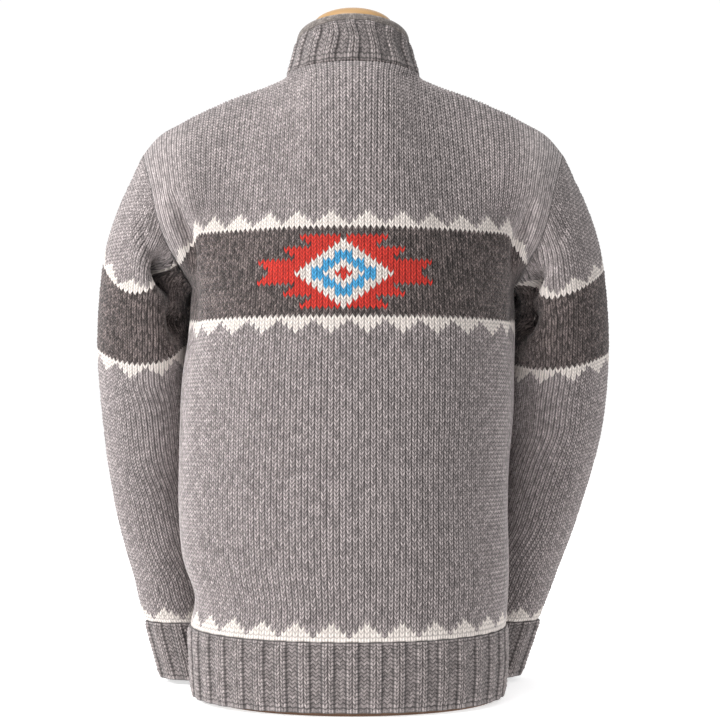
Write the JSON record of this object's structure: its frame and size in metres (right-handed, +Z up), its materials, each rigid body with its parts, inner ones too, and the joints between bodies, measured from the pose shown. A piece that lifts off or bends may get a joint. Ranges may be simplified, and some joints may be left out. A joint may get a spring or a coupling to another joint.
{
  "type": "sweater on dress form",
  "caption": "Heavy knitted pullover with a stand-up ribbed collar, ribbed hem and cuffs and stranded colour bands, worn by a limbless dress form with a domed wooden neck cap.",
  "frame": {"origin": "on the flat underside of the form's base, under its middle", "axes": "+Z up, +Y towards the garment's back, +X towards the wearer's left"},
  "size_m": [0.5628, 0.3032, 0.7414],
  "materials": {
    "grey_knit": "heathered wool knit with stranded colour bands",
    "grey_rib": "heathered wool rib",
    "facing_knit": "smooth knitted tape",
    "form_cover": "plain woven cover",
    "cap_wood": "satin varnished",
    "base_wood": "matt stained"
  },
  "bodies": {
    "root": {"back": "grey_knit", "front": "grey_knit", "sleeve_left": "grey_knit", "sleeve_right": "grey_knit", "hem_rib_back": "grey_rib", "hem_rib_front": "grey_rib", "cuff_left": "grey_rib", "cuff_right": "grey_rib", "collar": "grey_rib", "collar_facing": "facing_knit", "dress_form": "form_cover", "form_base": "base_wood", "form_cap": "cap_wood"}
  },
  "joints": []
}
